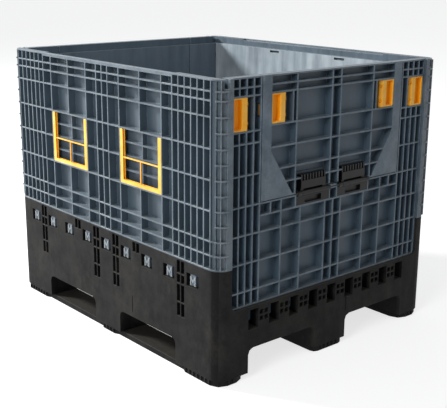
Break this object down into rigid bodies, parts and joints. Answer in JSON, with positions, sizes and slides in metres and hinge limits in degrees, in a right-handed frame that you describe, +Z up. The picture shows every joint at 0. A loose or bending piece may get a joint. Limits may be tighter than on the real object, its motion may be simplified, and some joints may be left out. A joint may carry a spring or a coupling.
{
  "type": "collapsible pallet bin",
  "caption": "Collapsible plastic pallet bin with ribbed folding walls, drop doors, sliding latches and a moulded pallet base.",
  "frame": {"origin": "on the floor under the middle of the bin", "axes": "+X along the bin's length, +Z up"},
  "size_m": [1.2, 1, 0.95],
  "materials": {
    "grey_wall": "slightly worn",
    "black_base": "dusty",
    "black_hinge": "clean",
    "yellow_latch": "clean",
    "steel_rod": "drawn"
  },
  "bodies": {
    "base": {"base_tray": "black_base", "skid_front": "black_base", "skid_middle": "black_base", "skid_rear": "black_base", "long_wall_front": "grey_wall", "long_wall_rear": "grey_wall", "long_hinge_rod_front": "steel_rod", "long_hinge_rod_rear": "steel_rod", "card_holder_right": "yellow_latch", "card_holder_left": "yellow_latch", "end_hinge_rod_right": "steel_rod", "end_hinge_rod_left": "steel_rod"},
    "end_wall_right_body": {"end_wall_right": "grey_wall", "hinge_bracket_right_near": "black_hinge", "hinge_pin_right_near": "steel_rod", "hinge_bracket_right_far": "black_hinge", "hinge_pin_right_far": "steel_rod"},
    "drop_door_right_body": {"drop_door_right": "grey_wall", "hinge_leaf_right_near": "black_hinge", "hinge_leaf_right_far": "black_hinge"},
    "wall_latch_right_near_body": {"wall_latch_right_near": "yellow_latch"},
    "door_latch_right_near_body": {"door_latch_right_near": "yellow_latch"},
    "wall_latch_right_far_body": {"wall_latch_right_far": "yellow_latch"},
    "door_latch_right_far_body": {"door_latch_right_far": "yellow_latch"},
    "end_wall_left_body": {"end_wall_left": "grey_wall", "hinge_bracket_left_near": "black_hinge", "hinge_pin_left_near": "steel_rod", "hinge_bracket_left_far": "black_hinge", "hinge_pin_left_far": "steel_rod"},
    "drop_door_left_body": {"drop_door_left": "grey_wall", "hinge_leaf_left_near": "black_hinge", "hinge_leaf_left_far": "black_hinge"},
    "wall_latch_left_near_body": {"wall_latch_left_near": "yellow_latch"},
    "door_latch_left_near_body": {"door_latch_left_near": "yellow_latch"},
    "wall_latch_left_far_body": {"wall_latch_left_far": "yellow_latch"},
    "door_latch_left_far_body": {"door_latch_left_far": "yellow_latch"}
  },
  "joints": [
    {"name": "end_wall_right_fold", "type": "hinge", "parent": "base", "child": "end_wall_right_body", "pos_m": [0.552, 0, 0.198], "axis": [0, -1, 0], "range_deg": [0, 90]},
    {"name": "drop_door_right_drop", "type": "hinge", "parent": "end_wall_right_body", "child": "drop_door_right_body", "pos_m": [0.5915, 0, 0.5665], "axis": [0, 1, 0], "range_deg": [0, 178]},
    {"name": "wall_latch_right_near_slide", "type": "slide", "parent": "end_wall_right_body", "child": "wall_latch_right_near_body", "axis": [0, 1, 0], "range_m": [0, 0.012], "stiffness_N_per_m": 400, "springref_m": -0.01},
    {"name": "door_latch_right_near_slide", "type": "slide", "parent": "drop_door_right_body", "child": "door_latch_right_near_body", "axis": [0, 1, 0], "range_m": [0, 0.012], "stiffness_N_per_m": 400, "springref_m": -0.01},
    {"name": "wall_latch_right_far_slide", "type": "slide", "parent": "end_wall_right_body", "child": "wall_latch_right_far_body", "axis": [0, -1, 0], "range_m": [0, 0.012], "stiffness_N_per_m": 400, "springref_m": -0.01},
    {"name": "door_latch_right_far_slide", "type": "slide", "parent": "drop_door_right_body", "child": "door_latch_right_far_body", "axis": [0, -1, 0], "range_m": [0, 0.012], "stiffness_N_per_m": 400, "springref_m": -0.01},
    {"name": "end_wall_left_fold", "type": "hinge", "parent": "base", "child": "end_wall_left_body", "pos_m": [-0.552, 0, 0.198], "axis": [0, 1, 0], "range_deg": [0, 82]},
    {"name": "drop_door_left_drop", "type": "hinge", "parent": "end_wall_left_body", "child": "drop_door_left_body", "pos_m": [-0.5915, 0, 0.5665], "axis": [0, -1, 0], "range_deg": [0, 178]},
    {"name": "wall_latch_left_near_slide", "type": "slide", "parent": "end_wall_left_body", "child": "wall_latch_left_near_body", "axis": [0, -1, 0], "range_m": [0, 0.012], "stiffness_N_per_m": 400, "springref_m": -0.01},
    {"name": "door_latch_left_near_slide", "type": "slide", "parent": "drop_door_left_body", "child": "door_latch_left_near_body", "axis": [0, -1, 0], "range_m": [0, 0.012], "stiffness_N_per_m": 400, "springref_m": -0.01},
    {"name": "wall_latch_left_far_slide", "type": "slide", "parent": "end_wall_left_body", "child": "wall_latch_left_far_body", "axis": [0, 1, 0], "range_m": [0, 0.012], "stiffness_N_per_m": 400, "springref_m": -0.01},
    {"name": "door_latch_left_far_slide", "type": "slide", "parent": "drop_door_left_body", "child": "door_latch_left_far_body", "axis": [0, 1, 0], "range_m": [0, 0.012], "stiffness_N_per_m": 400, "springref_m": -0.01}
  ]
}
